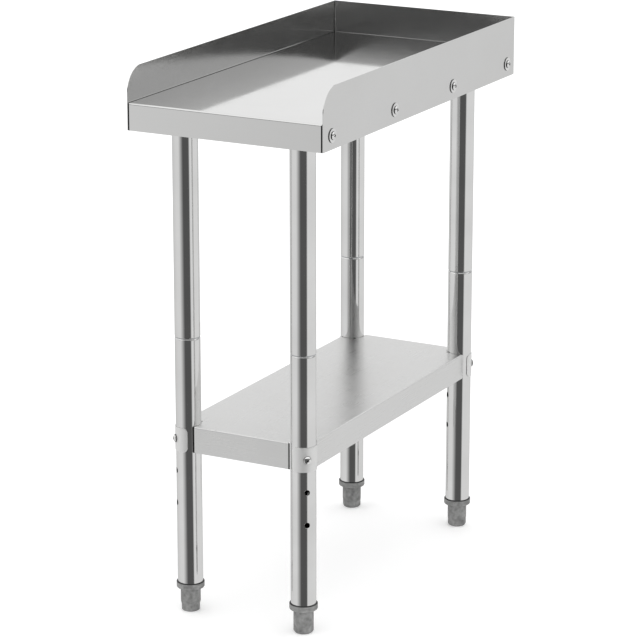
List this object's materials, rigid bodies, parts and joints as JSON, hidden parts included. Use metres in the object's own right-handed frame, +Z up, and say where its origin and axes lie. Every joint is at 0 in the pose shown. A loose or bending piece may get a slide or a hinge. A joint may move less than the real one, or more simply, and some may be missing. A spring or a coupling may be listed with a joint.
{
  "type": "stainless work table",
  "caption": "Narrow free-standing stainless work table with a raised three-sided splash guard, round two-piece legs, a bolted undershelf and screw-adjustable feet.",
  "frame": {"origin": "on the floor, at the middle of the rectangle of the four legs", "axes": "+Z up; -Y towards the short open end of the worktop, +Y towards the rear splash plate; +X to the right seen from the open end"},
  "size_m": [0.3256, 0.6408, 0.828],
  "materials": {
    "satin_sheet": "satin stainless sheet with a fine lengthwise grain",
    "polished_tube": "mirror-polished stainless tube with faint drawing lines",
    "fastener": "bright stainless fasteners",
    "galvanised": "galvanised steel, dull and faintly mottled",
    "foot_plastic": "mid-grey moulded plastic, matt and faintly mottled",
    "stem": "zinc-plated steel rod"
  },
  "bodies": {
    "table": {"worktop": "satin_sheet", "channel_left": "galvanised", "channel_right": "galvanised", "leg_socket_fl": "galvanised", "leg_socket_fr": "galvanised", "leg_socket_rl": "galvanised", "leg_socket_rr": "galvanised", "socket_grub_screws": "fastener", "splash_left": "satin_sheet", "splash_right": "satin_sheet", "splash_rear": "satin_sheet", "splash_screws_left": "fastener", "splash_screws_right": "fastener", "splash_screws_rear": "fastener", "splash_washers_left": "fastener", "splash_washers_right": "fastener", "splash_washers_rear": "fastener", "splash_nuts_left": "fastener", "splash_nuts_right": "fastener", "splash_nuts_rear": "fastener", "leg_upper_fl": "polished_tube", "leg_upper_fr": "polished_tube", "leg_upper_rl": "polished_tube", "leg_upper_rr": "polished_tube", "leg_coupler_fl": "galvanised", "leg_coupler_fr": "galvanised", "leg_coupler_rl": "galvanised", "leg_coupler_rr": "galvanised", "leg_lower_fl": "polished_tube", "leg_lower_fr": "polished_tube", "leg_lower_rl": "polished_tube", "leg_lower_rr": "polished_tube", "shelf": "satin_sheet", "shelf_stiffener": "galvanised", "shelf_screws": "fastener", "shelf_washers": "fastener", "shelf_nuts": "fastener", "foot_insert_fl": "foot_plastic", "foot_insert_fr": "foot_plastic", "foot_insert_rl": "foot_plastic", "foot_insert_rr": "foot_plastic"},
    "stem_fl": {"foot_stem_fl": "stem"},
    "barrel_fl": {"foot_barrel_fl": "foot_plastic"},
    "stem_fr": {"foot_stem_fr": "stem"},
    "barrel_fr": {"foot_barrel_fr": "foot_plastic"},
    "stem_rl": {"foot_stem_rl": "stem"},
    "barrel_rl": {"foot_barrel_rl": "foot_plastic"},
    "stem_rr": {"foot_stem_rr": "stem"},
    "barrel_rr": {"foot_barrel_rr": "foot_plastic"}
  },
  "joints": [
    {"name": "foot_fl_reach", "type": "slide", "parent": "table", "child": "stem_fl", "axis": [0, 0, -1], "range_m": [0, 0.0245]},
    {"name": "foot_fl_turn", "type": "hinge", "parent": "stem_fl", "child": "barrel_fl", "pos_m": [-0.096, -0.262, 0.018], "axis": [0, 0, -1], "range_deg": [0, 5040]},
    {"name": "foot_fr_reach", "type": "slide", "parent": "table", "child": "stem_fr", "axis": [0, 0, -1], "range_m": [0, 0.0245]},
    {"name": "foot_fr_turn", "type": "hinge", "parent": "stem_fr", "child": "barrel_fr", "pos_m": [0.096, -0.262, 0.018], "axis": [0, 0, -1], "range_deg": [0, 5040]},
    {"name": "foot_rl_reach", "type": "slide", "parent": "table", "child": "stem_rl", "axis": [0, 0, -1], "range_m": [0, 0.0245]},
    {"name": "foot_rl_turn", "type": "hinge", "parent": "stem_rl", "child": "barrel_rl", "pos_m": [-0.096, 0.262, 0.018], "axis": [0, 0, -1], "range_deg": [0, 5040]},
    {"name": "foot_rr_reach", "type": "slide", "parent": "table", "child": "stem_rr", "axis": [0, 0, -1], "range_m": [0, 0.0245]},
    {"name": "foot_rr_turn", "type": "hinge", "parent": "stem_rr", "child": "barrel_rr", "pos_m": [0.096, 0.262, 0.018], "axis": [0, 0, -1], "range_deg": [0, 5040]}
  ],
  "couplings": [
    {"joint": "foot_fl_turn", "follows": "foot_fl_reach", "rad_per_m": 3590.4},
    {"joint": "foot_fr_turn", "follows": "foot_fr_reach", "rad_per_m": 3590.4},
    {"joint": "foot_rl_turn", "follows": "foot_rl_reach", "rad_per_m": 3590.4},
    {"joint": "foot_rr_turn", "follows": "foot_rr_reach", "rad_per_m": 3590.4}
  ]
}
